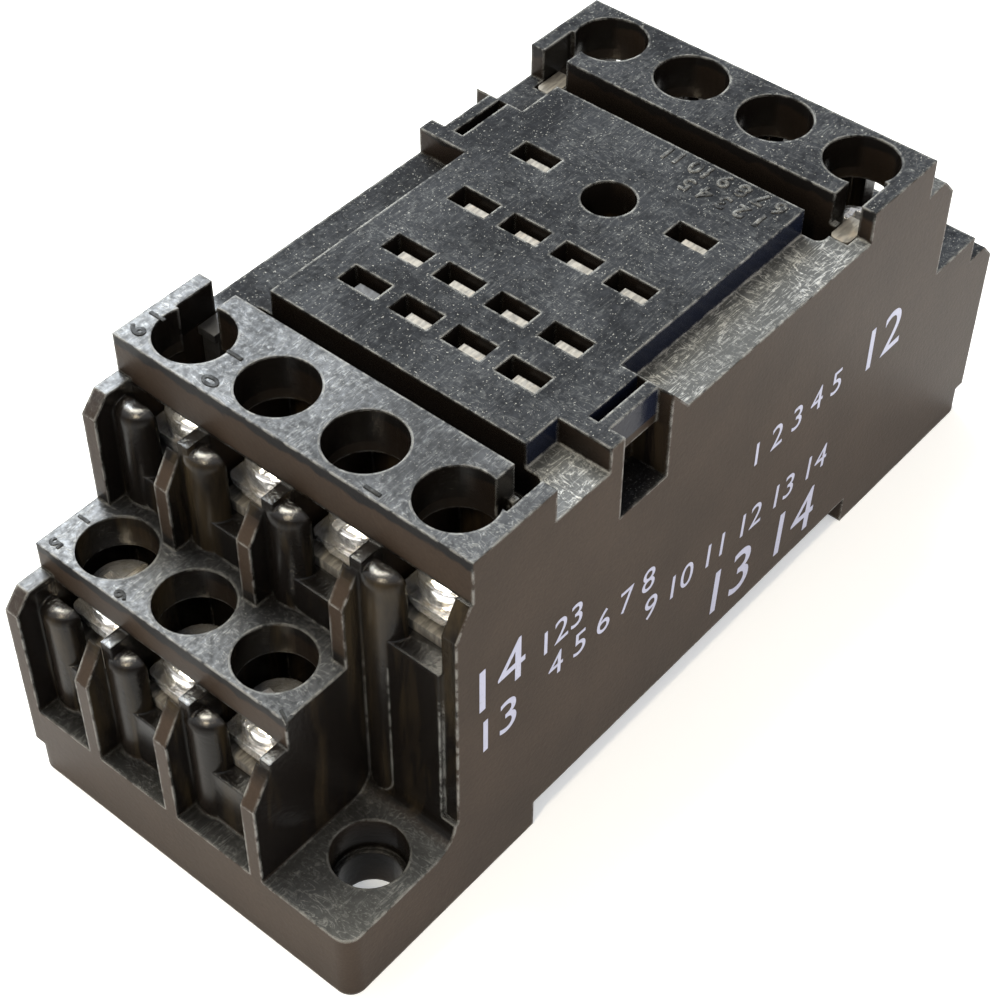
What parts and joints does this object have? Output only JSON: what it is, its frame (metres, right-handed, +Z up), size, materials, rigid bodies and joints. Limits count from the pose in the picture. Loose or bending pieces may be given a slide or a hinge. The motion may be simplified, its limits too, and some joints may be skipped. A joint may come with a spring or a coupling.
{
  "type": "relay socket",
  "caption": "Screw-terminal socket for a plug-in relay: stepped black case with two tiers of clamp terminals at each end, blade slots, rail recess and sliding latch.",
  "frame": {"origin": "middle of the underside of the bounding box", "axes": "+X along the length, from the end nearest the camera to the far end; +Y across the width, to the left seen from the near end; +Z up"},
  "size_m": [0.072, 0.0296, 0.0316],
  "materials": {
    "case_black": "fine spark-eroded satin, black",
    "inner_black": "matte, dark grey to black",
    "latch_black": "satin, black",
    "spring_steel": "drawn wire",
    "contact_tinned": "tin-plated copper alloy, satin",
    "clamp_plated": "zinc-plated steel, bright",
    "screw_plated": "zinc-plated steel, bright"
  },
  "bodies": {
    "case": {"housing": "case_black", "contact_carrier": "inner_black", "bottom_cover": "inner_black", "latch_spring": "spring_steel", "contact_near_upper_1": "contact_tinned", "contact_near_upper_2": "contact_tinned", "contact_near_upper_3": "contact_tinned", "contact_near_upper_4": "contact_tinned", "contact_near_lower_1": "contact_tinned", "contact_near_lower_2": "contact_tinned", "contact_near_lower_3": "contact_tinned", "contact_far_upper_1": "contact_tinned", "contact_far_upper_2": "contact_tinned", "contact_far_upper_3": "contact_tinned", "contact_far_upper_4": "contact_tinned", "contact_far_lower_1": "contact_tinned", "contact_far_lower_2": "contact_tinned", "contact_far_lower_3": "contact_tinned"},
    "rail_latch": {"rail_latch": "latch_black"},
    "clamp_near_upper_1": {"clamp_near_upper_1": "clamp_plated"},
    "screw_near_upper_1": {"screw_near_upper_1": "screw_plated"},
    "clamp_near_upper_2": {"clamp_near_upper_2": "clamp_plated"},
    "screw_near_upper_2": {"screw_near_upper_2": "screw_plated"},
    "clamp_near_upper_3": {"clamp_near_upper_3": "clamp_plated"},
    "screw_near_upper_3": {"screw_near_upper_3": "screw_plated"},
    "clamp_near_upper_4": {"clamp_near_upper_4": "clamp_plated"},
    "screw_near_upper_4": {"screw_near_upper_4": "screw_plated"},
    "clamp_near_lower_1": {"clamp_near_lower_1": "clamp_plated"},
    "screw_near_lower_1": {"screw_near_lower_1": "screw_plated"},
    "clamp_near_lower_2": {"clamp_near_lower_2": "clamp_plated"},
    "screw_near_lower_2": {"screw_near_lower_2": "screw_plated"},
    "clamp_near_lower_3": {"clamp_near_lower_3": "clamp_plated"},
    "screw_near_lower_3": {"screw_near_lower_3": "screw_plated"},
    "clamp_far_upper_1": {"clamp_far_upper_1": "clamp_plated"},
    "screw_far_upper_1": {"screw_far_upper_1": "screw_plated"},
    "clamp_far_upper_2": {"clamp_far_upper_2": "clamp_plated"},
    "screw_far_upper_2": {"screw_far_upper_2": "screw_plated"},
    "clamp_far_upper_3": {"clamp_far_upper_3": "clamp_plated"},
    "screw_far_upper_3": {"screw_far_upper_3": "screw_plated"},
    "clamp_far_upper_4": {"clamp_far_upper_4": "clamp_plated"},
    "screw_far_upper_4": {"screw_far_upper_4": "screw_plated"},
    "clamp_far_lower_1": {"clamp_far_lower_1": "clamp_plated"},
    "screw_far_lower_1": {"screw_far_lower_1": "screw_plated"},
    "clamp_far_lower_2": {"clamp_far_lower_2": "clamp_plated"},
    "screw_far_lower_2": {"screw_far_lower_2": "screw_plated"},
    "clamp_far_lower_3": {"clamp_far_lower_3": "clamp_plated"},
    "screw_far_lower_3": {"screw_far_lower_3": "screw_plated"}
  },
  "joints": [
    {"name": "latch_slide", "type": "slide", "parent": "case", "child": "rail_latch", "axis": [1, 0, 0], "range_m": [0, 0.0025], "stiffness_N_per_m": 400, "springref_m": -0.0015, "deforming": ["latch_spring"]},
    {"name": "lift_near_upper_1", "type": "slide", "parent": "case", "child": "clamp_near_upper_1", "axis": [0, 0, 1], "range_m": [-0.0002, 0.0018]},
    {"name": "turn_near_upper_1", "type": "hinge", "parent": "clamp_near_upper_1", "child": "screw_near_upper_1", "pos_m": [-0.02085, 0.0108, 0.02], "axis": [0, 0, 1], "range_deg": [-144.1, 1296.1]},
    {"name": "lift_near_upper_2", "type": "slide", "parent": "case", "child": "clamp_near_upper_2", "axis": [0, 0, 1], "range_m": [-0.0003, 0.0017]},
    {"name": "turn_near_upper_2", "type": "hinge", "parent": "clamp_near_upper_2", "child": "screw_near_upper_2", "pos_m": [-0.02085, 0.0036, 0.02], "axis": [0, 0, 1], "range_deg": [-216.1, 1224.1]},
    {"name": "lift_near_upper_3", "type": "slide", "parent": "case", "child": "clamp_near_upper_3", "axis": [0, 0, 1], "range_m": [-0.0002, 0.0018]},
    {"name": "turn_near_upper_3", "type": "hinge", "parent": "clamp_near_upper_3", "child": "screw_near_upper_3", "pos_m": [-0.02085, -0.0036, 0.02], "axis": [0, 0, 1], "range_deg": [-144.1, 1296.1]},
    {"name": "lift_near_upper_4", "type": "slide", "parent": "case", "child": "clamp_near_upper_4", "axis": [0, 0, 1], "range_m": [-0.00025, 0.00175]},
    {"name": "turn_near_upper_4", "type": "hinge", "parent": "clamp_near_upper_4", "child": "screw_near_upper_4", "pos_m": [-0.02085, -0.0108, 0.02], "axis": [0, 0, 1], "range_deg": [-180.1, 1260.1]},
    {"name": "lift_near_lower_1", "type": "slide", "parent": "case", "child": "clamp_near_lower_1", "axis": [0, 0, 1], "range_m": [-0.0014, 0.0006]},
    {"name": "turn_near_lower_1", "type": "hinge", "parent": "clamp_near_lower_1", "child": "screw_near_lower_1", "pos_m": [-0.0296, 0.0105, 0.02], "axis": [0, 0, 1], "range_deg": [-1008.1, 432.1]},
    {"name": "lift_near_lower_2", "type": "slide", "parent": "case", "child": "clamp_near_lower_2", "axis": [0, 0, 1], "range_m": [-0.0002, 0.0018]},
    {"name": "turn_near_lower_2", "type": "hinge", "parent": "clamp_near_lower_2", "child": "screw_near_lower_2", "pos_m": [-0.0296, 0.0035, 0.02], "axis": [0, 0, 1], "range_deg": [-144.1, 1296.1]},
    {"name": "lift_near_lower_3", "type": "slide", "parent": "case", "child": "clamp_near_lower_3", "axis": [0, 0, 1], "range_m": [-0.0003, 0.0017]},
    {"name": "turn_near_lower_3", "type": "hinge", "parent": "clamp_near_lower_3", "child": "screw_near_lower_3", "pos_m": [-0.0296, -0.0035, 0.02], "axis": [0, 0, 1], "range_deg": [-216.1, 1224.1]},
    {"name": "lift_far_upper_1", "type": "slide", "parent": "case", "child": "clamp_far_upper_1", "axis": [0, 0, 1], "range_m": [-0.00025, 0.00175]},
    {"name": "turn_far_upper_1", "type": "hinge", "parent": "clamp_far_upper_1", "child": "screw_far_upper_1", "pos_m": [0.02085, -0.0108, 0.02], "axis": [0, 0, 1], "range_deg": [-180.1, 1260.1]},
    {"name": "lift_far_upper_2", "type": "slide", "parent": "case", "child": "clamp_far_upper_2", "axis": [0, 0, 1], "range_m": [-0.0012, 0.0008]},
    {"name": "turn_far_upper_2", "type": "hinge", "parent": "clamp_far_upper_2", "child": "screw_far_upper_2", "pos_m": [0.02085, -0.0036, 0.02], "axis": [0, 0, 1], "range_deg": [-864.1, 576.1]},
    {"name": "lift_far_upper_3", "type": "slide", "parent": "case", "child": "clamp_far_upper_3", "axis": [0, 0, 1], "range_m": [-0.0017, 0.0003]},
    {"name": "turn_far_upper_3", "type": "hinge", "parent": "clamp_far_upper_3", "child": "screw_far_upper_3", "pos_m": [0.02085, 0.0036, 0.02], "axis": [0, 0, 1], "range_deg": [-1224.1, 216.1]},
    {"name": "lift_far_upper_4", "type": "slide", "parent": "case", "child": "clamp_far_upper_4", "axis": [0, 0, 1], "range_m": [-0.0018, 0.0002]},
    {"name": "turn_far_upper_4", "type": "hinge", "parent": "clamp_far_upper_4", "child": "screw_far_upper_4", "pos_m": [0.02085, 0.0108, 0.02], "axis": [0, 0, 1], "range_deg": [-1296.1, 144.1]},
    {"name": "lift_far_lower_1", "type": "slide", "parent": "case", "child": "clamp_far_lower_1", "axis": [0, 0, 1], "range_m": [-0.0002, 0.0018]},
    {"name": "turn_far_lower_1", "type": "hinge", "parent": "clamp_far_lower_1", "child": "screw_far_lower_1", "pos_m": [0.0296, -0.0105, 0.02], "axis": [0, 0, 1], "range_deg": [-144.1, 1296.1]},
    {"name": "lift_far_lower_2", "type": "slide", "parent": "case", "child": "clamp_far_lower_2", "axis": [0, 0, 1], "range_m": [-0.0003, 0.0017]},
    {"name": "turn_far_lower_2", "type": "hinge", "parent": "clamp_far_lower_2", "child": "screw_far_lower_2", "pos_m": [0.0296, -0.0035, 0.02], "axis": [0, 0, 1], "range_deg": [-216.1, 1224.1]},
    {"name": "lift_far_lower_3", "type": "slide", "parent": "case", "child": "clamp_far_lower_3", "axis": [0, 0, 1], "range_m": [-0.0002, 0.0018]},
    {"name": "turn_far_lower_3", "type": "hinge", "parent": "clamp_far_lower_3", "child": "screw_far_lower_3", "pos_m": [0.0296, 0.0035, 0.02], "axis": [0, 0, 1], "range_deg": [-144.1, 1296.1]}
  ],
  "couplings": [
    {"joint": "turn_near_upper_1", "follows": "lift_near_upper_1", "rad_per_m": 12566},
    {"joint": "turn_near_upper_2", "follows": "lift_near_upper_2", "rad_per_m": 12566},
    {"joint": "turn_near_upper_3", "follows": "lift_near_upper_3", "rad_per_m": 12566},
    {"joint": "turn_near_upper_4", "follows": "lift_near_upper_4", "rad_per_m": 12566},
    {"joint": "turn_near_lower_1", "follows": "lift_near_lower_1", "rad_per_m": 12566},
    {"joint": "turn_near_lower_2", "follows": "lift_near_lower_2", "rad_per_m": 12566},
    {"joint": "turn_near_lower_3", "follows": "lift_near_lower_3", "rad_per_m": 12566},
    {"joint": "turn_far_upper_1", "follows": "lift_far_upper_1", "rad_per_m": 12566},
    {"joint": "turn_far_upper_2", "follows": "lift_far_upper_2", "rad_per_m": 12566},
    {"joint": "turn_far_upper_3", "follows": "lift_far_upper_3", "rad_per_m": 12566},
    {"joint": "turn_far_upper_4", "follows": "lift_far_upper_4", "rad_per_m": 12566},
    {"joint": "turn_far_lower_1", "follows": "lift_far_lower_1", "rad_per_m": 12566},
    {"joint": "turn_far_lower_2", "follows": "lift_far_lower_2", "rad_per_m": 12566},
    {"joint": "turn_far_lower_3", "follows": "lift_far_lower_3", "rad_per_m": 12566}
  ]
}
